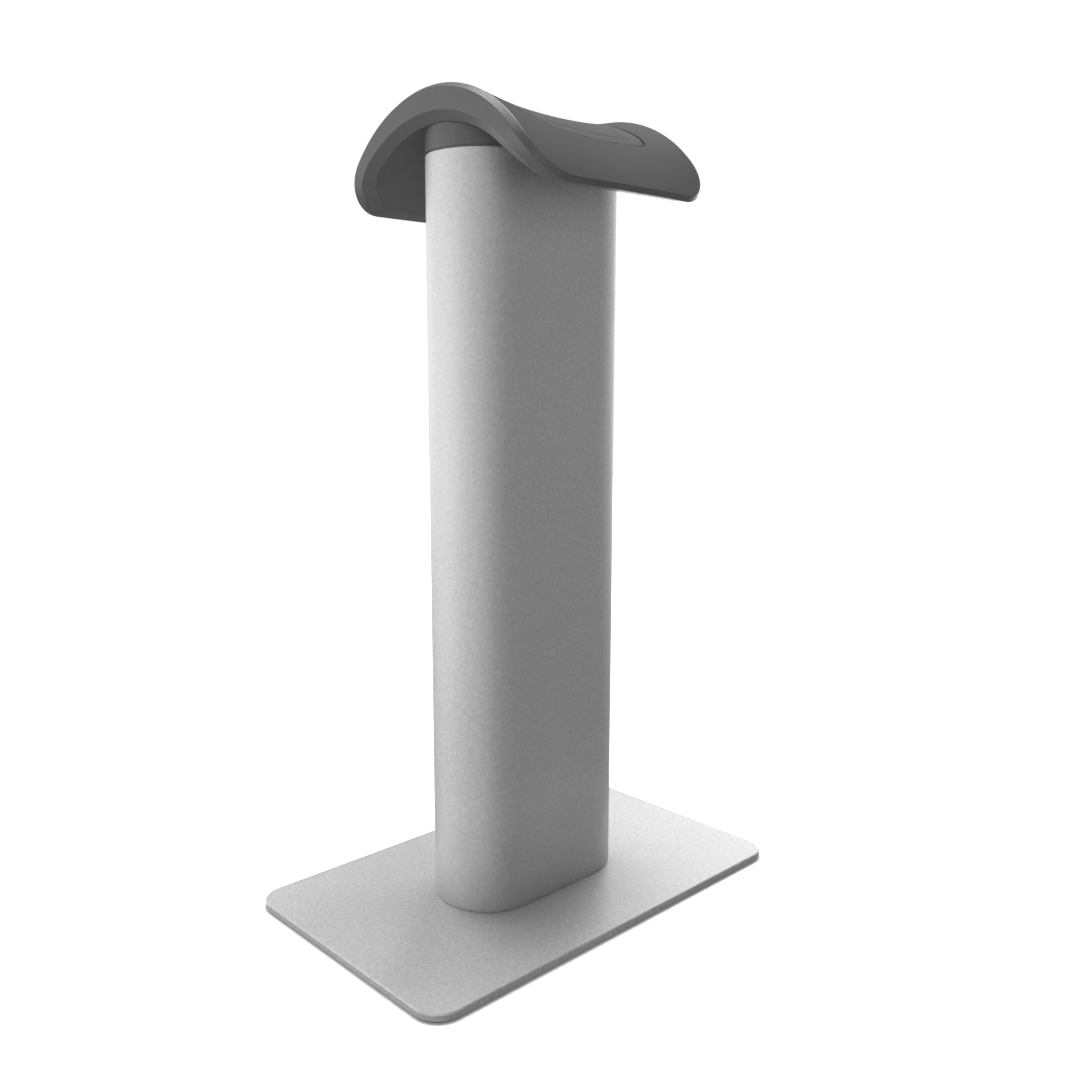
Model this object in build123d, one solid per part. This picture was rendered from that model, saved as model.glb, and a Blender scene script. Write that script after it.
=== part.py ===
from build123d import *
import math
import os

# Headphone stand, in millimetres.
# Origin: the centre of the base, on the surface it stands on.  +Z is up.
# X runs across the saddle, from wing to wing.  Y runs along the base's long side.

# ---- Base ----
BASE_LENGTH = 160.0  # along Y
BASE_WIDTH = 99.6  # along X
BASE_CORNER_RADIUS = 9.0
PLATE_THICKNESS = 2.4
PLATE_EDGE_BREAK = 0.35
PAD_THICKNESS = 0.7
PAD_INSET = 0.6  # the anti-slip sheet stops this far inside the plate's edge
PAD_HOLE_RADIUS = 5.2  # the screw heads are reached through these holes

# ---- Column: a drawn tube of stadium section with a screw port in each quarter ----
COLUMN_DEPTH = 71.0  # along Y
COLUMN_WIDTH = 38.0  # along X
COLUMN_WALL = 2.0
COLUMN_TOP = 248.0
COLUMN_END_BREAK = 0.25
PORT_X = 12.8
PORT_Y = 16.5
PORT_RADIUS = 4.4
PORT_BORE_RADIUS = 2.05

# ---- Screws: M4 throughout, their threads left plain ----
THREAD_RADIUS = 2.0
CLEARANCE_RADIUS = 2.25
SOCKET_FLATS = 2.5
BASE_SCREW_LENGTH = 14.0
COUNTERSUNK_HEAD_RADIUS = 4.0
COUNTERSINK_PLAY = 0.1
COUNTERSUNK_SOCKET_DEPTH = 1.2
SADDLE_SCREW_LENGTH = 16.0  # below the head
CAP_HEAD_RADIUS = 3.5
CAP_HEAD_HEIGHT = 2.8
CAP_HEAD_BREAK = 0.3
CAP_SOCKET_DEPTH = 1.6
WASHER_RADIUS = 4.0
WASHER_THICKNESS = 0.5

# ---- Saddle: an arch across X whose front and back edges rise as lips ----
# Across X the top follows one arc over the middle and another along each lip.
SADDLE_DEPTH = 78.4  # along Y, over both lips
LIP_RADIUS = 51.4
LIP_CENTRE_Z = 215.2
CHANNEL_RADIUS = 60.2
CHANNEL_CENTRE_Z = 201.3
UNDERSIDE_RADIUS = 47.5
UNDERSIDE_CENTRE_Z = 208.0
WING_BOTTOM_Z = 233.8
WING_CORNER_RADIUS = 14.5
WING_FOOT_X = 44.4  # the wing's end is level outside here and rises inwards from it
WING_END_SLOPE = 20.0  # degrees
WING_END_ROUNDING = 4.0
SKIRT_Z = 222.0  # the top's arcs are drawn down to here, then trimmed
OUTER_EDGE_CHAMFER = 1.8
INNER_EDGE_CHAMFER = 2.9
CHAMFER_SOFTENING = 0.4  # radius along both borders of each chamfer

# ---- Neck on the column and spigot inside it ----
NECK_WALL = 3.0
SHADOW_GAP = 0.5  # height and depth of the groove above the column's end
SPIGOT_PLAY = 0.2
SPIGOT_WALL = 2.4
SPIGOT_DEPTH = 12.0
PORT_CLEARANCE = 0.4
BOSS_RADIUS = 6.0
COUNTERBORE_RADIUS = 4.3
COUNTERBORE_FLOOR_Z = 251.5

# ---- Soft inlay in the channel, over the saddle's screws ----
INLAY_THICKNESS = 2.0
INLAY_WIDTH = 47.0  # along Y
INLAY_SPAN = 70.0  # along X
INLAY_CORNER_RADIUS = 7.0
INLAY_PLAY = 0.12

PLATE_BOTTOM = PAD_THICKNESS
PLATE_TOP = PAD_THICKNESS + PLATE_THICKNESS
LIP_TOP = LIP_CENTRE_Z + LIP_RADIUS
HALF_DEPTH = SADDLE_DEPTH / 2
REACH = 2 * CHANNEL_RADIUS  # longer than any cutter needs to be
ON_FACE = 0.01  # an edge this near a face lies on it
PORTS = [(x, y) for x in (-PORT_X, PORT_X) for y in (-PORT_Y, PORT_Y)]


def slab(sketch, low, high):
    """Extrude a sketch on XY from one height to another."""
    return Pos(0, 0, low) * extrude(sketch, high - low)


def rod(radius, low, high):
    """Vertical cylinder on the Z axis between two heights."""
    return slab(Circle(radius), low, high)


def stadium(depth, width):
    """Stadium with its long axis along Y."""
    return SlotOverall(depth, width, rotation=90)


def at_ports(shape):
    """One copy of a shape at each of the four screw ports."""
    return [Pos(x, y, 0) * shape for x, y in PORTS]


def barrel(radius, centre_z):
    """Cylinder lying along Y, as deep as the saddle, with its axis at a given height."""
    return extrude(Plane.XZ * Pos(0, centre_z) * Circle(radius), HALF_DEPTH, both=True)


def wing_outline():
    """Bar along X with the saddle's outline as seen from the side."""
    height = LIP_TOP + 1 - WING_BOTTOM_Z
    section = Pos(0, WING_BOTTOM_Z + height / 2) * Rectangle(SADDLE_DEPTH, height)
    section = fillet(section.vertices().group_by(Axis.Y)[0], WING_CORNER_RADIUS)
    return extrude(Plane.YZ * section, REACH, both=True)


def hollow_under_arch():
    """Bar along Y that leaves the arch's underside and the wings' rising end faces."""
    ridge_z = WING_BOTTOM_Z + WING_FOOT_X * math.tan(math.radians(WING_END_SLOPE))
    roof = [(-WING_FOOT_X, WING_BOTTOM_Z), (0, ridge_z), (WING_FOOT_X, WING_BOTTOM_Z)]
    floor = [(WING_FOOT_X, SKIRT_Z), (-WING_FOOT_X, SKIRT_Z)]
    section = Polygon(*roof, *floor, align=None) + Pos(0, UNDERSIDE_CENTRE_Z) * Circle(UNDERSIDE_RADIUS)
    hollow = extrude(Plane.XZ * section, HALF_DEPTH, both=True)
    notches = [
        e for e in hollow.edges().filter_by(Axis.Y)
        if WING_BOTTOM_Z + ON_FACE < (e @ 0.5).Z < ridge_z
    ]
    return fillet(notches, WING_END_ROUNDING)


def make_base_plate():
    outline = RectangleRounded(BASE_WIDTH, BASE_LENGTH, BASE_CORNER_RADIUS)
    plate = slab(outline, PLATE_BOTTOM, PLATE_TOP)
    rims = plate.edges().group_by(Axis.Z)
    plate = chamfer(rims[0] + rims[-1], PLATE_EDGE_BREAK)
    mouth = COUNTERSUNK_HEAD_RADIUS + COUNTERSINK_PLAY
    depth = mouth - CLEARANCE_RADIUS
    countersink = Pos(0, 0, PLATE_BOTTOM + depth / 2) * Cone(mouth, CLEARANCE_RADIUS, depth)
    hole = countersink + rod(CLEARANCE_RADIUS, PLATE_BOTTOM, PLATE_TOP)
    return plate - at_ports(hole)


def make_base_pad():
    width = BASE_WIDTH - 2 * PAD_INSET
    length = BASE_LENGTH - 2 * PAD_INSET
    outline = RectangleRounded(width, length, BASE_CORNER_RADIUS - PAD_INSET)
    return slab(outline, 0, PAD_THICKNESS) - at_ports(rod(PAD_HOLE_RADIUS, 0, PAD_THICKNESS))


def make_base_screws():
    head = COUNTERSUNK_HEAD_RADIUS - THREAD_RADIUS
    cone = Cone(COUNTERSUNK_HEAD_RADIUS, THREAD_RADIUS, head)
    screw = Pos(0, 0, PLATE_BOTTOM + head / 2) * cone
    screw += rod(THREAD_RADIUS, PLATE_BOTTOM, PLATE_BOTTOM + BASE_SCREW_LENGTH)
    socket = RegularPolygon(SOCKET_FLATS / 2, 6, major_radius=False)
    screw -= slab(socket, PLATE_BOTTOM, PLATE_BOTTOM + COUNTERSUNK_SOCKET_DEPTH)
    return at_ports(screw)


def make_column():
    section = stadium(COLUMN_DEPTH, COLUMN_WIDTH)
    inside = stadium(COLUMN_DEPTH - 2 * COLUMN_WALL, COLUMN_WIDTH - 2 * COLUMN_WALL)
    tube = slab(section, PLATE_TOP, COLUMN_TOP)
    ends = tube.edges().group_by(Axis.Z)
    tube = chamfer(ends[0] + ends[-1], COLUMN_END_BREAK)
    tube -= slab(inside, PLATE_TOP, COLUMN_TOP)
    tube += at_ports(rod(PORT_RADIUS, PLATE_TOP, COLUMN_TOP))
    return tube - at_ports(rod(PORT_BORE_RADIUS, PLATE_TOP, COLUMN_TOP))


def top_body(sunk=0.0):
    """Everything under the saddle's top, or under a surface sunk below it.

    Its section across X is an arc, low over the middle and high along both lips.
    """
    above_skirt = Pos(0, SKIRT_Z + REACH / 2) * Rectangle(2 * REACH, REACH)
    lip = Pos(0, LIP_CENTRE_Z) * Circle(LIP_RADIUS - sunk) & above_skirt
    middle = Pos(0, CHANNEL_CENTRE_Z) * Circle(CHANNEL_RADIUS - sunk) & above_skirt
    sections = [(-HALF_DEPTH, lip), (0, middle), (HALF_DEPTH, lip)]
    return loft([Pos(0, y, 0) * (Plane.XZ * section) for y, section in sections])


def lies_on(edge, shape):
    """True where both quarter points of an edge lie on a surface."""
    return all(shape.distance_to(edge @ part) < ON_FACE for part in (0.25, 0.75))


def runs_along_x(edge):
    return edge.geom_type == GeomType.LINE and abs((edge % 0.5).X) > 0.99


def rims(shape, skins):
    """Edges on any of the given surfaces, without the seams that run along X."""
    return [e for e in shape.edges() if not runs_along_x(e) and any(lies_on(e, skin) for skin in skins)]


def make_arch():
    """The arched top with its lips, all its outer edges chamfered and then softened."""
    body = top_body()
    outline = wing_outline()
    hollow = hollow_under_arch()
    top = body.shell()
    sides = outline.shell()
    underside = hollow.shell()
    arch = (body & outline) - hollow
    outer = [e for e in rims(arch, [sides]) if lies_on(e, top) and not lies_on(e, underside)]
    arch = chamfer(outer, OUTER_EDGE_CHAMFER)
    inner = [e for e in rims(arch, [sides]) if lies_on(e, underside)]
    arch = chamfer(inner, INNER_EDGE_CHAMFER)
    return fillet(rims(arch, [top, sides, underside]), CHAMFER_SOFTENING)


def make_neck():
    """Hollow boss that carries the column's section on up to the arch."""
    roof = barrel(UNDERSIDE_RADIUS, UNDERSIDE_CENTRE_Z)
    into_arch = barrel(UNDERSIDE_RADIUS + 1, UNDERSIDE_CENTRE_Z)
    section = stadium(COLUMN_DEPTH, COLUMN_WIDTH)
    inside = stadium(COLUMN_DEPTH - 2 * NECK_WALL, COLUMN_WIDTH - 2 * NECK_WALL)
    inset = stadium(COLUMN_DEPTH - 2 * SHADOW_GAP, COLUMN_WIDTH - 2 * SHADOW_GAP)
    neck = slab(section, COLUMN_TOP, LIP_TOP) & into_arch
    neck -= slab(inside, COLUMN_TOP, LIP_TOP) & roof
    neck -= slab(section - inset, COLUMN_TOP, COLUMN_TOP + SHADOW_GAP)
    bosses = Part() + at_ports(rod(BOSS_RADIUS, COLUMN_TOP, LIP_TOP))
    return neck + (bosses & slab(inset, COLUMN_TOP, LIP_TOP) & into_arch)


def make_spigot():
    """Short wall that locates the saddle inside the column, broken at the screw ports."""
    margin = 2 * (COLUMN_WALL + SPIGOT_PLAY)
    depth = COLUMN_DEPTH - margin
    width = COLUMN_WIDTH - margin
    ring = stadium(depth, width) - stadium(depth - 2 * SPIGOT_WALL, width - 2 * SPIGOT_WALL)
    spigot = slab(ring, COLUMN_TOP - SPIGOT_DEPTH, COLUMN_TOP + 1)
    return spigot - at_ports(rod(PORT_RADIUS + PORT_CLEARANCE, 0, COLUMN_TOP))


def inlay_room(play):
    """The space above the inlay's seat, within its plan."""
    plan = RectangleRounded(INLAY_SPAN - 2 * play, INLAY_WIDTH - 2 * play, INLAY_CORNER_RADIUS - play)
    return slab(plan, SKIRT_Z, LIP_TOP) - top_body(INLAY_THICKNESS)


def make_saddle_core():
    core = make_arch() + make_neck() + make_spigot()
    core -= inlay_room(0)
    core -= at_ports(rod(COUNTERBORE_RADIUS, COUNTERBORE_FLOOR_Z, LIP_TOP))
    return core - at_ports(rod(CLEARANCE_RADIUS, COLUMN_TOP, LIP_TOP))


def make_saddle_inlay():
    return inlay_room(INLAY_PLAY) & top_body()


def make_saddle_washers():
    top = COUNTERBORE_FLOOR_Z + WASHER_THICKNESS
    ring = Circle(WASHER_RADIUS) - Circle(CLEARANCE_RADIUS)
    return at_ports(slab(ring, COUNTERBORE_FLOOR_Z, top))


def make_saddle_screws():
    seat = COUNTERBORE_FLOOR_Z + WASHER_THICKNESS
    top = seat + CAP_HEAD_HEIGHT
    head = rod(CAP_HEAD_RADIUS, seat, top)
    head = chamfer(head.edges().group_by(Axis.Z)[-1], CAP_HEAD_BREAK)
    screw = head + rod(THREAD_RADIUS, seat - SADDLE_SCREW_LENGTH, top)
    socket = RegularPolygon(SOCKET_FLATS / 2, 6, major_radius=False)
    screw -= slab(socket, top - CAP_SOCKET_DEPTH, top)
    return at_ports(screw)


PIECES = {
    "base_plate": make_base_plate,
    "base_pad": make_base_pad,
    "base_screws": make_base_screws,
    "column": make_column,
    "saddle_core": make_saddle_core,
    "saddle_inlay": make_saddle_inlay,
    "saddle_screws": make_saddle_screws,
    "saddle_washers": make_saddle_washers,
}

os.makedirs("parts", exist_ok=True)
for name, make in PIECES.items():
    made = make()
    solids = made if isinstance(made, list) else [made]
    export_step(Compound(children=[s for shape in solids for s in shape.solids()]), f"parts/{name}.step")
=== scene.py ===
import math

import bmesh
import bpy
from mathutils import Matrix, Vector
from mathutils.geometry import tessellate_polygon


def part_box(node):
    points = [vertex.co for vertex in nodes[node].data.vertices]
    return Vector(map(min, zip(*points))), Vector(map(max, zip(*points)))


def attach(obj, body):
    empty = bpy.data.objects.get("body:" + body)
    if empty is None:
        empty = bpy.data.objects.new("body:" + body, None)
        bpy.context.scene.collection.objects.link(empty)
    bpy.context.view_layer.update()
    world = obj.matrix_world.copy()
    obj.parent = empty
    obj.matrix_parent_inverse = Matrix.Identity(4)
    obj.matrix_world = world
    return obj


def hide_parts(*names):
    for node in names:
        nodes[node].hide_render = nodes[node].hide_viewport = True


# The looks of a headphone stand: bead-blasted aluminium plate and column, a moulded saddle
# with a soft inlay, an anti-slip sheet underneath, and the studio around it.
# Lengths are in metres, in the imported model's frame.

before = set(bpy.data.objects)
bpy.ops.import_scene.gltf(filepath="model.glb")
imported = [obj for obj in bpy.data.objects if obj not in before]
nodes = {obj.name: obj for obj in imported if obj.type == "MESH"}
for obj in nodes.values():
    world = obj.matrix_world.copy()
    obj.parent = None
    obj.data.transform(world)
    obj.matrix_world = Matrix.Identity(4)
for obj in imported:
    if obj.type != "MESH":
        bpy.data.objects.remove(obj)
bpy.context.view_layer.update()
MM = 0.001
SHARP_EDGE_ANGLE = math.radians(40)  # edges that turn more than this aren't shaded smooth

# ---- Camera ----
CAMERA_TARGET = Vector((0.0038, 0.0038, 0.1243))
CAMERA_DISTANCE = 0.3671
CAMERA_AZIMUTH = 46.481  # degrees; 0 looks along +Y
CAMERA_ELEVATION = 9.19
CAMERA_ROLL = 0.107
CAMERA_LENS = 35.61  # millimetres, on a 36 mm sensor

# ---- Studio ----
STAGE_RADIUS = 5.0
STAGE_FLAT_RADIUS = 2.5  # from here the floor curves up
STAGE_CURVE_HEIGHT = 2.5
STAGE_SEGMENTS = 96
STAGE_GLOW = 1.02
CONTACT_SHADOW_GLOW = 0.15  # the floor's glow right against the base, dimmed there as a painted contact shadow
# how far out the painted contact shadow reaches
CONTACT_SHADOW_WIDTH = 2.0 * MM
BOUNCE_FROM_BELOW = 0.2  # light from the floor, which the stage itself doesn't give
FILL_FROM_ABOVE = 0.0

# Each softbox: name, azimuth and elevation of its place in degrees, width, height, watts.
SOFTBOX_DISTANCE = 1.4
SOFTBOXES = [
    ("front_softbox", 0.0, 5.0, 0.7, 0.7, 2.4),
    ("near_softbox", 30.0, -2.0, 0.7, 1.05, 2.15),
    ("near_right_softbox", 60.0, 17.0, 0.7, 0.8, 1.25),
    ("right_softbox", 108.0, 6.0, 0.7, 0.9, 0.85),
    ("back_right_softbox", 150.0, 9.0, 0.7, 0.9, 0.55),
    ("back_softbox", 180.0, 9.0, 0.7, 0.9, 2.2),
    ("back_left_softbox", 210.0, 5.0, 0.7, 0.7, 5.4),
    ("side_softbox", 270.0, 7.0, 0.7, 0.8, 3.3),
    ("far_left_softbox", 300.0, 5.0, 0.7, 1.4, 3.2),
    ("left_softbox", 330.0, 2.0, 0.7, 0.95, 3.75),
    ("high_left_softbox", 270.0, 50.0, 0.7, 0.7, 0.7),
    ("top_left_softbox", 270.0, 80.0, 0.7, 0.7, 8.4),
    ("top_back_softbox", 200.0, 80.0, 0.7, 0.7, 9.9),
]

# ---- Plate's and column's finish, and the shade painted on them ----
SAWN_ROUGHNESS = 0.4  # added on the plate's sides to the roughness of its faces
CORNER_SHADE_REACH = 30 * MM  # how far from the column painted shade darkens the plate
# how dark the painted shade is next to the column
CORNER_SHADE_TONE = 0.93
FOOT_SHADE_LOW = 2 * MM  # painted shade: the column is darkest below this height
FOOT_SHADE_HIGH = 38 * MM  # and unshaded above this one
# how dark the painted shade makes the column's foot
FOOT_SHADE_TONE = 0.72

# ---- Saddle's top: one arc across X over the channel's middle, another along each lip ----
HALF_DEPTH = 39.2 * MM
LIP_RADIUS = 51.4 * MM
LIP_CENTRE_Z = 215.2 * MM
CHANNEL_RADIUS = 60.2 * MM
CHANNEL_CENTRE_Z = 201.3 * MM

# ---- Soft inlay ----
INLAY_CORNER_RADIUS = 6.9 * MM
INLAY_THICKNESS = 2.0 * MM
INLAY_EDGE_RADIUS = 1.1 * MM
INLAY_CROWN = 0.8 * MM
INLAY_GROOVE_INSET = 4.2 * MM
INLAY_GROOVE_HALF_WIDTH = 0.6 * MM
INLAY_GROOVE_DEPTH = 0.3 * MM
INLAY_LIFT = 0.02 * MM  # keeps its underside off the seat
INLAY_STRIP_HALF_WIDTH = 1.0 * MM  # of the strip along its middle, inside the innermost ring

# ---- Anti-slip sheet ----
SHEET_CORNER_RADIUS = 8.4 * MM
SHEET_EDGE_RADIUS = 0.15 * MM
SHEET_HOLE_RADIUS = 5.2 * MM
SHEET_HOLE_SIDES = 48
SCREW_HEAD_RADIUS = 4.0 * MM
PIP_HEIGHT = 0.25 * MM
PIP_RADIUS = 1.1 * MM
PIP_PITCH = 4.0 * MM
PIP_MARGIN = 2.2 * MM
PIP_SIDES = 12
# Each ring of a pip: how far inside its radius, and its height.  The first is inside the sheet.
PIP_LEVELS = [(0.0, 0.28 * MM), (0.05 * MM, 0.12 * MM), (0.2 * MM, 0.03 * MM), (0.5 * MM, 0.0)]


# ---------------------------------------------------------------- helpers


def direction(azimuth, elevation):
    """Unit vector from the stand towards something at this azimuth and elevation."""
    a = math.radians(azimuth)
    e = math.radians(elevation)
    return Vector((math.sin(a) * math.cos(e), -math.cos(a) * math.cos(e), math.sin(e)))


def link(name, data):
    made = bpy.data.objects.new(name, data)
    bpy.context.scene.collection.objects.link(made)
    return made


def steps(start, end, count):
    """Evenly spaced numbers from start up to, but without, end."""
    return [start + (end - start) * i / count for i in range(count)]


def circle(x, y, radius, sides):
    turns = steps(0.0, 2 * math.pi, sides)
    return [(x + radius * math.cos(a), y + radius * math.sin(a)) for a in turns]


def ring_faces(rings, count):
    """Quads between neighbouring rings of count points each."""
    return [
        (k * count + i, (k + 1) * count + i, (k + 1) * count + (i + 1) % count, k * count + (i + 1) % count)
        for k in range(rings - 1)
        for i in range(count)
    ]


def mesh_piece(name, points, faces):
    """Object whose faces all turn outwards, smooth-shaded except over its sharp edges."""
    mesh = bpy.data.meshes.new(name)
    mesh.from_pydata(points, [], faces)
    edited = bmesh.new()
    edited.from_mesh(mesh)
    bmesh.ops.recalc_face_normals(edited, faces=edited.faces)
    edited.to_mesh(mesh)
    edited.free()
    mesh.shade_smooth()
    mesh.set_sharp_from_angle(angle=SHARP_EDGE_ANGLE)
    return link(name, mesh)


# ---------------------------------------------------------------- camera and studio


def make_camera():
    camera = bpy.data.cameras.new("camera")
    camera.lens = CAMERA_LENS
    camera.sensor_width = 36.0
    camera.clip_start = 0.01
    camera.clip_end = 50.0
    made = link("camera", camera)
    back = direction(CAMERA_AZIMUTH, CAMERA_ELEVATION)
    roll = Matrix.Rotation(math.radians(CAMERA_ROLL), 3, "Z").to_quaternion()
    turn = (-back).to_track_quat("-Z", "Y") @ roll
    made.matrix_world = Matrix.LocRotScale(CAMERA_TARGET + back * CAMERA_DISTANCE, turn, None)
    bpy.context.scene.camera = made


def make_softbox(name, azimuth, elevation, width, height, watts):
    light = bpy.data.lights.new(name, "AREA")
    light.shape = "RECTANGLE"
    light.size = width
    light.size_y = height
    light.energy = watts
    made = link(name, light)
    towards = direction(azimuth, elevation)
    turn = towards.to_track_quat("Z", "Y")
    made.matrix_world = Matrix.LocRotScale(CAMERA_TARGET + towards * SOFTBOX_DISTANCE, turn, None)


def stage_material():
    """White that glows, so that floor and backdrop meet without a line; its glow is dimmed against the
    base, a painted contact shadow.
    """
    material, tree, shader = new_material("stage_white")
    shader.inputs["Base Color"].default_value = (0.8, 0.8, 0.8, 1)
    shader.inputs["Roughness"].default_value = 1.0
    shader.inputs["Emission Color"].default_value = (1, 1, 1, 1)
    # painted contact shadow: less glow where the base hides the floor's surroundings
    glow = openness(tree, CONTACT_SHADOW_WIDTH, CONTACT_SHADOW_GLOW, STAGE_GLOW)
    tree.links.new(glow, shader.inputs["Emission Strength"])
    return material


def make_stage():
    """Round floor that curves up into a dome. Only the camera sees it, so it adds no light."""
    curve_radius = STAGE_RADIUS - STAGE_FLAT_RADIUS
    profile = [(STAGE_FLAT_RADIUS, 0.0)]
    profile += [
        (STAGE_FLAT_RADIUS + curve_radius * math.sin(a), STAGE_CURVE_HEIGHT * (1 - math.cos(a)))
        for a in (math.radians(d) for d in range(5, 95, 5))
    ]
    profile += [
        (STAGE_RADIUS * math.cos(a), STAGE_CURVE_HEIGHT * (1 + math.sin(a)))
        for a in (math.radians(d) for d in range(10, 100, 10))
    ]
    points = []
    for r, z in profile:
        points += [(x, y, z) for x, y in circle(0.0, 0.0, r, STAGE_SEGMENTS)]
    faces = ring_faces(len(profile), STAGE_SEGMENTS)
    faces.append(list(range(STAGE_SEGMENTS)))
    stage = mesh_piece("stage_floor", points, faces)
    stage.data.materials.append(stage_material())
    stage.visible_diffuse = False
    stage.visible_glossy = False
    stage.visible_transmission = False
    stage.visible_shadow = False


def make_studio():
    scene = bpy.context.scene
    scene.view_settings.view_transform = "Standard"
    world = bpy.data.worlds.new("studio_fill")
    scene.world = world
    world.use_nodes = True
    tree = world.node_tree
    background = tree.nodes["Background"]
    background.inputs["Color"].default_value = (1, 1, 1, 1)
    towards = add_node(tree, "ShaderNodeTexCoord").outputs["Generated"]
    height = add_node(tree, "ShaderNodeSeparateXYZ", Vector=towards).outputs["Z"]
    strength = spread(tree, height, -0.05, 0.05, BOUNCE_FROM_BELOW, FILL_FROM_ABOVE)
    tree.links.new(strength, background.inputs["Strength"])
    for softbox in SOFTBOXES:
        make_softbox(*softbox)
    make_stage()


# ---------------------------------------------------------------- materials


def new_material(name):
    material = bpy.data.materials.new(name)
    material.use_nodes = True
    tree = material.node_tree
    return material, tree, tree.nodes["Principled BSDF"]


def add_node(tree, kind, settings=None, **values):
    """A shader node with some settings and some input values. A value may be another node's socket."""
    made = tree.nodes.new(kind)
    for key, value in (settings or {}).items():
        setattr(made, key, value)
    for key, value in values.items():
        socket = made.inputs[key.replace("_", " ")]
        if isinstance(value, bpy.types.NodeSocket):
            tree.links.new(value, socket)
        else:
            socket.default_value = value
    return made


def noise(tree, scale, detail=2.0, roughness=0.5, stretch=(1, 1, 1)):
    """Noise over the piece, from 0 to 1. Scale is in waves per metre."""
    where = add_node(tree, "ShaderNodeTexCoord").outputs["Object"]
    if stretch != (1, 1, 1):
        where = add_node(tree, "ShaderNodeMapping", Vector=where, Scale=stretch).outputs["Vector"]
    made = add_node(
        tree, "ShaderNodeTexNoise", Vector=where, Scale=scale, Detail=detail, Roughness=roughness
    )
    return made.outputs["Fac"]


def spread(tree, value, low, high, to_low, to_high):
    """Map a value's range low..high onto another range, clamped."""
    made = add_node(
        tree, "ShaderNodeMapRange",
        Value=value, From_Min=low, From_Max=high, To_Min=to_low, To_Max=to_high,
    )
    return made.outputs["Result"]


def maths(tree, operation, *values):
    """A maths node with one or two values, numbers or sockets."""
    made = tree.nodes.new("ShaderNodeMath")
    made.operation = operation
    for socket, value in zip(made.inputs, values):
        if isinstance(value, bpy.types.NodeSocket):
            tree.links.new(value, socket)
        else:
            socket.default_value = value
    return made.outputs[0]


def total(tree, values):
    """Sum of some values."""
    result = values[0]
    for value in values[1:]:
        result = maths(tree, "ADD", result, value)
    return result


def worn_edges(tree, radius):
    """1 on edges tighter than the radius, fading to 0 on open faces."""
    rounded = add_node(tree, "ShaderNodeBevel", {"samples": 6}, Radius=radius)
    flat = add_node(tree, "ShaderNodeNewGeometry")
    dot = tree.nodes.new("ShaderNodeVectorMath")
    dot.operation = "DOT_PRODUCT"
    tree.links.new(rounded.outputs["Normal"], dot.inputs[0])
    tree.links.new(flat.outputs["Normal"], dot.inputs[1])
    return spread(tree, dot.outputs["Value"], 0.995, 0.93, 0.0, 1.0)


def openness(tree, distance, in_corner, in_open):
    """One value on open faces and another in corners, half of whose surroundings are hidden: painted shade
    from ambient occlusion.
    """
    made = add_node(tree, "ShaderNodeAmbientOcclusion", {"samples": 6}, Distance=distance)
    return spread(tree, made.outputs["AO"], 0.5, 1.0, in_corner, in_open)


def painted_shade_near_plate(tree):
    """Painted shade that darkens the column's lower end, next to the plate."""
    position = add_node(tree, "ShaderNodeNewGeometry").outputs["Position"]
    height = add_node(tree, "ShaderNodeSeparateXYZ", Vector=position).outputs["Z"]
    return spread(tree, height, FOOT_SHADE_LOW, FOOT_SHADE_HIGH, FOOT_SHADE_TONE, 1.0)


def upright_faces(tree):
    """1 on faces that stand upright, fading to 0 on level ones."""
    normal = add_node(tree, "ShaderNodeNewGeometry").outputs["True Normal"]
    normal_z = add_node(tree, "ShaderNodeSeparateXYZ", Vector=normal).outputs["Z"]
    return spread(tree, maths(tree, "ABSOLUTE", normal_z), 0.6, 0.3, 0.0, 1.0)


def grey(tree, tone, share):
    """A grey of this tone, made lighter or darker by share, a value around 1."""
    value = maths(tree, "MULTIPLY", share, tone)
    return add_node(tree, "ShaderNodeCombineColor", Red=value, Green=value, Blue=value).outputs["Color"]


def bump(tree, shader, height, distance, strength=1.0, under=None):
    made = add_node(tree, "ShaderNodeBump", Height=height, Distance=distance, Strength=strength)
    if under is not None:
        tree.links.new(under, made.inputs["Normal"])
    tree.links.new(made.outputs["Normal"], shader.inputs["Normal"])
    return made.outputs["Normal"]


def blasted_aluminium(name, tone, roughness, drawn=False):
    """Clear-anodised aluminium under fine bead blasting.

    A drawn tube has faint lines along Z and painted shade towards its foot. A plate's sides are sawn, so
    they are rougher; the plate has painted shade near the column.
    """
    material, tree, shader = new_material(name)
    shader.inputs["Metallic"].default_value = 1.0
    grain = noise(tree, 900, detail=3.0, roughness=0.55)
    pits = noise(tree, 5200, detail=2.0)
    cloud = noise(tree, 28, detail=3.0)
    edges = worn_edges(tree, 0.5 * MM)
    parts = [
        spread(tree, grain, 0.3, 0.7, 0.92, 1.08),
        spread(tree, cloud, 0.3, 0.7, -0.015, 0.015),
        maths(tree, "MULTIPLY", edges, 0.06),
    ]
    if drawn:
        lines = noise(tree, 900, detail=2.0, stretch=(1, 1, 0.01))
        parts.append(spread(tree, lines, 0.3, 0.7, -0.008, 0.008))
    rough = [
        spread(tree, grain, 0.3, 0.7, roughness - 0.03, roughness + 0.03),
        spread(tree, cloud, 0.3, 0.7, -0.02, 0.02),
        maths(tree, "MULTIPLY", edges, -0.12),
    ]
    # painted shade on the column, darker towards its foot
    if drawn:
        painted_shade = painted_shade_near_plate(tree)
    else:
        # painted shade on the plate, darker near the column
        painted_shade = openness(tree, CORNER_SHADE_REACH, CORNER_SHADE_TONE, 1.0)
        rough.append(spread(tree, upright_faces(tree), 0.0, 1.0, 0.0, SAWN_ROUGHNESS))
    share = maths(tree, "MULTIPLY", total(tree, parts), painted_shade)
    tree.links.new(grey(tree, tone, share), shader.inputs["Base Color"])
    tree.links.new(total(tree, rough), shader.inputs["Roughness"])
    coarse = bump(tree, shader, grain, 0.02 * MM, 0.5)
    bump(tree, shader, pits, 0.01 * MM, 0.5, under=coarse)
    return material


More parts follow.
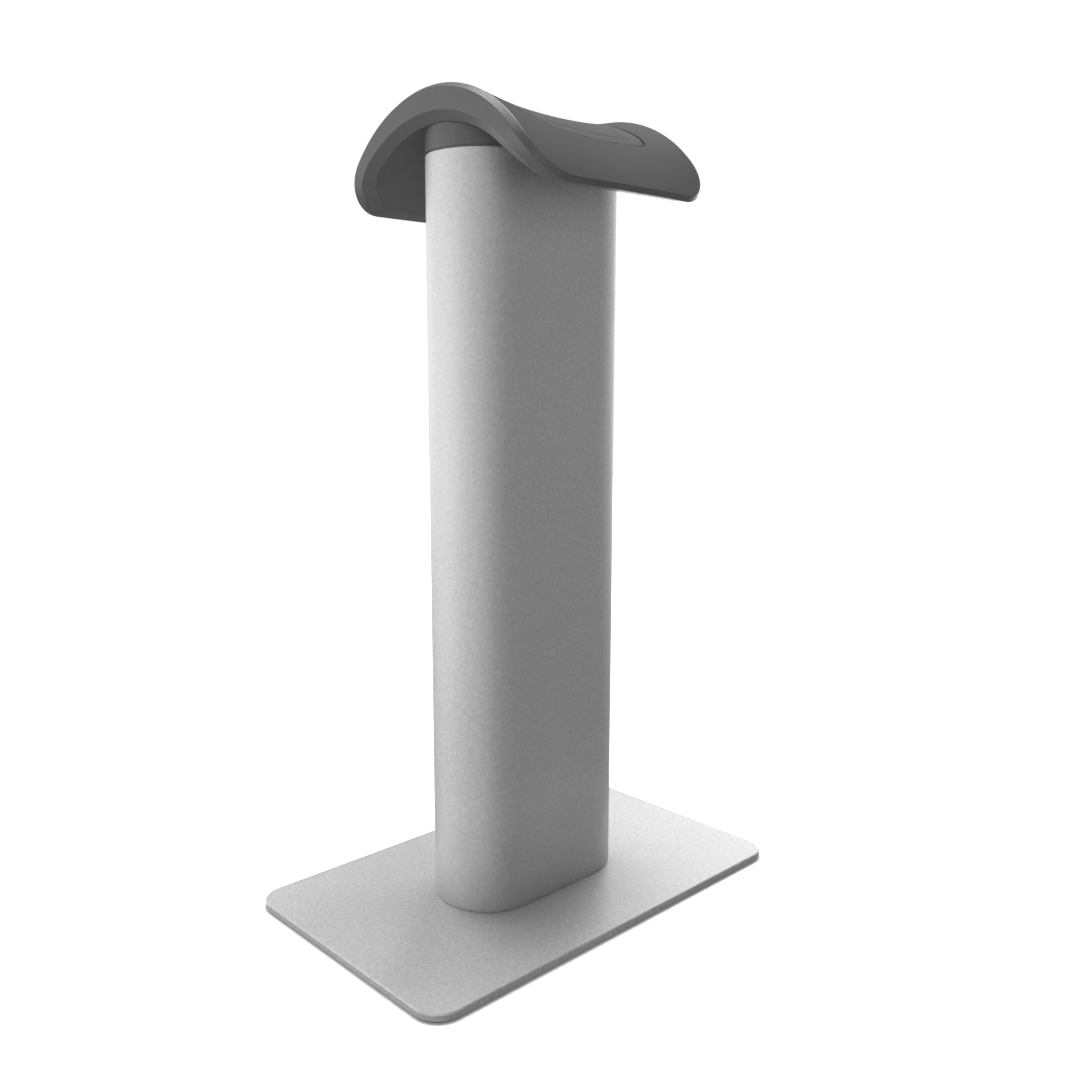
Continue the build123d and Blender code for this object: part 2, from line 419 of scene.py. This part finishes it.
def moulded_plastic(name, tone, roughness):
    """Matte plastic from a spark-eroded mould, a little polished where hands and bands rub it."""
    material, tree, shader = new_material(name)
    texture = noise(tree, 1400, detail=3.0, roughness=0.6)
    cloud = noise(tree, 35, detail=3.0)
    edges = worn_edges(tree, 1.2 * MM)
    parts = [
        spread(tree, texture, 0.3, 0.7, 0.91, 1.09),
        spread(tree, cloud, 0.3, 0.7, -0.02, 0.02),
        maths(tree, "MULTIPLY", edges, 0.06),
    ]
    tree.links.new(grey(tree, tone, total(tree, parts)), shader.inputs["Base Color"])
    rough = [
        spread(tree, cloud, 0.3, 0.7, roughness - 0.03, roughness + 0.03),
        maths(tree, "MULTIPLY", edges, -0.05),
    ]
    tree.links.new(total(tree, rough), shader.inputs["Roughness"])
    shader.inputs["Specular IOR Level"].default_value = 0.45
    bump(tree, shader, texture, 0.02 * MM, 0.6)
    return material


def soft_rubber(name, tone, pebble_scale, pebble_depth, roughness):
    """Soft-touch rubber with a fine pebbled face, with painted shade in its hollows."""
    material, tree, shader = new_material(name)
    where = add_node(tree, "ShaderNodeTexCoord").outputs["Object"]
    voronoi = {"feature": "DISTANCE_TO_EDGE"}
    cells = add_node(tree, "ShaderNodeTexVoronoi", voronoi, Vector=where, Scale=pebble_scale)
    pebble = spread(tree, cells.outputs["Distance"], 0.0, 0.28, 0.0, 1.0)
    fine = noise(tree, 4200, detail=2.0)
    cloud = noise(tree, 40, detail=3.0)
    parts = [
        # painted shade: darker in the hollows between the pebbles
        spread(tree, pebble, 0.0, 1.0, 0.9, 1.02),
        spread(tree, cloud, 0.3, 0.7, -0.03, 0.03),
    ]
    tree.links.new(grey(tree, tone, total(tree, parts)), shader.inputs["Base Color"])
    rough = [
        spread(tree, pebble, 0.0, 1.0, roughness + 0.08, roughness - 0.02),
        spread(tree, fine, 0.3, 0.7, -0.03, 0.03),
    ]
    tree.links.new(total(tree, rough), shader.inputs["Roughness"])
    shader.inputs["Specular IOR Level"].default_value = 0.35
    shader.inputs["Sheen Weight"].default_value = 0.15
    shader.inputs["Sheen Roughness"].default_value = 0.5
    coarse = bump(tree, shader, pebble, pebble_depth, 0.7)
    bump(tree, shader, fine, 0.01 * MM, 0.4, under=coarse)
    return material


def turned_steel(name):
    """Zinc-plated steel with fine turning marks."""
    material, tree, shader = new_material(name)
    shader.inputs["Metallic"].default_value = 1.0
    marks = noise(tree, 3000, detail=2.0, stretch=(1, 1, 6))
    cloud = noise(tree, 300, detail=2.0)
    tree.links.new(grey(tree, 0.55, spread(tree, cloud, 0.3, 0.7, 0.92, 1.06)), shader.inputs["Base Color"])
    tree.links.new(spread(tree, marks, 0.3, 0.7, 0.26, 0.42), shader.inputs["Roughness"])
    bump(tree, shader, marks, 0.01 * MM, 0.5)
    return material


# ---------------------------------------------------------------- pieces


def rounded_ring(half_x, half_y, radius, along=(28, 20), corner=10):
    """Closed outline of a rounded rectangle, anticlockwise from the middle of its +X side.

    Every ring has the same number of points, so that rings join up into quads.
    """
    across_x, across_y = along
    flat_x = half_x - radius
    flat_y = half_y - radius
    quarter = [(half_x, y) for y in steps(0.0, flat_y, across_y)]
    quarter += [
        (flat_x + radius * math.cos(a), flat_y + radius * math.sin(a))
        for a in steps(0.0, math.pi / 2, corner)
    ]
    quarter += [(x, half_y) for x in steps(flat_x, 0.0, across_x)]
    second = [(-x, y) for x, y in reversed(quarter[1:])]
    upper = quarter + [(0.0, half_y)] + second + [(-half_x, 0.0)]
    return upper + [(x, -y) for x, y in reversed(upper[1:-1])]


def middle_faces(first, count):
    """Quads across a rounded ring whose points start at this number, each from one side to the other."""
    quads = [(i, i + 1, count - i - 1, (count - i) % count) for i in range(count // 2)]
    return [tuple(first + i for i in dict.fromkeys(quad)) for quad in quads]


def saddle_height(x, y, sunk=0.0):
    """Height of the saddle's top, or of the same surface sunk below it."""
    lip_share = (y / HALF_DEPTH) ** 2
    middle = CHANNEL_CENTRE_Z + math.sqrt((CHANNEL_RADIUS - sunk) ** 2 - x * x)
    lip = LIP_CENTRE_Z + math.sqrt((LIP_RADIUS - sunk) ** 2 - x * x)
    return middle * (1 - lip_share) + lip * lip_share


def make_inlay():
    """Crowned pad with rounded edges and a moulded groove, lying in its pocket."""
    low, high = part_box("saddle_inlay")
    half_x = (high.x - low.x) / 2
    half_y = (high.y - low.y) / 2
    deepest = half_y - INLAY_STRIP_HALF_WIDTH
    insets = [INLAY_EDGE_RADIUS * (1 - math.cos(a)) for a in steps(0.0, math.pi / 2, 6)]
    groove_start = INLAY_GROOVE_INSET - INLAY_GROOVE_HALF_WIDTH
    groove_end = INLAY_GROOVE_INSET + INLAY_GROOVE_HALF_WIDTH
    insets += steps(INLAY_EDGE_RADIUS, groove_start, 4)
    insets += steps(groove_start, groove_end, 8)
    insets += steps(groove_end, deepest, 14) + [deepest]

    def top(x, y, inset):
        edge = max(INLAY_EDGE_RADIUS - inset, 0.0)
        rounding = INLAY_EDGE_RADIUS - math.sqrt(INLAY_EDGE_RADIUS ** 2 - edge ** 2)
        crown = INLAY_CROWN * (1 - (x / half_x) ** 2) * (1 - (y / half_y) ** 2)
        off_groove = min(abs(inset - INLAY_GROOVE_INSET) / INLAY_GROOVE_HALF_WIDTH, 1.0)
        groove = INLAY_GROOVE_DEPTH * 0.5 * (1 + math.cos(math.pi * off_groove))
        return saddle_height(x, y) - rounding + crown - groove

    def seat(x, y, inset):
        return saddle_height(x, y, INLAY_THICKNESS) + INLAY_LIFT

    points = []
    bottom_insets = steps(deepest, 0.0, 10) + [0.0]
    for surface, offsets in ((seat, bottom_insets), (top, insets)):
        for inset in offsets:
            radius = max(INLAY_CORNER_RADIUS - inset, 0.4 * MM)
            ring = rounded_ring(half_x - inset, half_y - inset, radius)
            points += [(x, y, surface(x, y, inset)) for x, y in ring]
    count = len(ring)
    rings = len(bottom_insets) + len(insets)
    faces = ring_faces(rings, count)
    faces += middle_faces(0, count)
    faces += middle_faces((rings - 1) * count, count)
    piece = mesh_piece("inlay_pad", points, faces)
    piece.data.materials.append(soft_rubber("inlay_rubber", 0.12, 1500, 0.05 * MM, 0.62))
    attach(piece, "root")
    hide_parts("saddle_inlay")


def inside_rounded(x, y, half_x, half_y, radius):
    """True where a point lies inside a rounded rectangle."""
    past_x = max(abs(x) - half_x + radius, 0.0)
    past_y = max(abs(y) - half_y + radius, 0.0)
    return math.hypot(past_x, past_y) <= radius


def pip_places(half_x, half_y, holes):
    """Staggered rows of places that keep clear of the sheet's edge and its holes."""
    row_pitch = PIP_PITCH * math.sqrt(3) / 2
    clear = SHEET_HOLE_RADIUS + PIP_MARGIN
    inner_x = half_x - PIP_MARGIN
    inner_y = half_y - PIP_MARGIN
    for row in range(-int(half_y / row_pitch), int(half_y / row_pitch) + 1):
        y = row * row_pitch
        shift = PIP_PITCH / 2 if row % 2 else 0.0
        for column in range(-int(half_x / PIP_PITCH) - 1, int(half_x / PIP_PITCH) + 1):
            x = column * PIP_PITCH + shift
            fits = inside_rounded(x, y, inner_x, inner_y, SHEET_CORNER_RADIUS - PIP_MARGIN)
            if fits and all(math.hypot(x - hx, y - hy) > clear for hx, hy in holes):
                yield x, y


def make_sheet():
    """Anti-slip sheet with a rounded lower edge, four screw holes and small round pips."""
    low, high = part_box("base_pad")
    screws_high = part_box("base_screws")[1]
    hole_x = screws_high.x - SCREW_HEAD_RADIUS
    hole_y = screws_high.y - SCREW_HEAD_RADIUS
    holes = [(x, y) for x in (-hole_x, hole_x) for y in (-hole_y, hole_y)]
    points = []
    faces = []

    def wall(ring_at, levels):
        """Stack of rings joined by quads. Returns the numbers of its first and last ring's points."""
        first = len(points)
        rings = [[(x, y, z) for x, y in ring_at(inset)] for inset, z in levels]
        points.extend(p for ring in rings for p in ring)
        count = len(rings[0])
        faces.extend(tuple(first + i for i in face) for face in ring_faces(len(rings), count))
        last = first + (len(rings) - 1) * count
        return range(first, first + count), range(last, last + count)

    def outer(inset):
        return rounded_ring(high.x - inset, high.y - inset, SHEET_CORNER_RADIUS - inset)

    edge_levels = [(0.0, high.z)]
    edge_levels += [
        (SHEET_EDGE_RADIUS * (1 - math.cos(a)), PIP_HEIGHT + SHEET_EDGE_RADIUS * (1 - math.sin(a)))
        for a in steps(0.0, math.pi / 2, 4)
    ]
    edge_levels.append((SHEET_EDGE_RADIUS, PIP_HEIGHT))
    walls = [wall(outer, edge_levels)]
    for x, y in holes:
        hole = circle(x, y, SHEET_HOLE_RADIUS, SHEET_HOLE_SIDES)
        walls.append(wall(lambda inset: hole, [(0.0, high.z), (0.0, PIP_HEIGHT)]))
    for loops in zip(*walls):
        numbers = [i for loop in loops for i in loop]
        triangles = tessellate_polygon([[Vector(points[i]) for i in loop] for loop in loops])
        faces.extend(tuple(numbers[i] for i in triangle) for triangle in triangles)
    for x, y in pip_places(high.x, high.y, holes):
        top, tip = wall(lambda inset: circle(x, y, PIP_RADIUS - inset, PIP_SIDES), PIP_LEVELS)
        faces.extend([top, tip])
    piece = mesh_piece("anti_slip_sheet", points, faces)
    piece.data.materials.append(soft_rubber("sheet_rubber", 0.03, 2500, 0.03 * MM, 0.75))
    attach(piece, "root")
    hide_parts("base_pad")


# ---------------------------------------------------------------- the scene

make_camera()
make_studio()

finishes = {
    "base_plate": blasted_aluminium("plate_aluminium", 0.82, 0.6),
    "column": blasted_aluminium("column_aluminium", 0.80, 0.6, drawn=True),
    "saddle_core": moulded_plastic("saddle_plastic", 0.17, 0.38),
    "base_screws": turned_steel("screw_steel"),
}
finishes["saddle_screws"] = finishes["base_screws"]
finishes["saddle_washers"] = finishes["base_screws"]
for name, material in finishes.items():
    nodes[name].data.materials.clear()
    nodes[name].data.materials.append(material)

make_inlay()
make_sheet()
